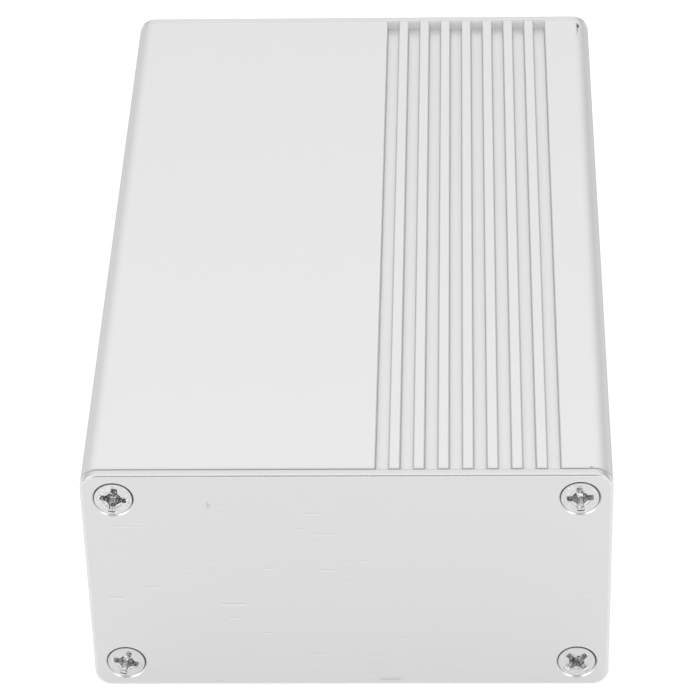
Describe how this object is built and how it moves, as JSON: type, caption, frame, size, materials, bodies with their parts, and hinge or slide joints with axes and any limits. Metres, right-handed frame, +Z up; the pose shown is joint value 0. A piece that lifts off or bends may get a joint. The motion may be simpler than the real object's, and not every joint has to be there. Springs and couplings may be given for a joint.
{
  "type": "aluminium project box",
  "caption": "Extruded aluminium electronics enclosure: grooved one-piece sleeve with inner board guides, closed by flat end panels on countersunk cross-recess screws",
  "frame": {"origin": "under the middle of the box, on the face that it stands on", "axes": "+X is the width, with the grooves towards +X; +Y is the length, with the front panel towards -Y; +Z is up"},
  "size_m": [0.076, 0.123, 0.04],
  "materials": {
    "anodised_sleeve": "matte silver anodised",
    "brushed_panel": "fine brushed silver anodised",
    "plated_screw": "bright nickel plated steel"
  },
  "bodies": {
    "root": {"sleeve": "anodised_sleeve", "front_panel": "brushed_panel", "rear_panel": "brushed_panel", "panel_screws": "plated_screw"}
  },
  "joints": []
}
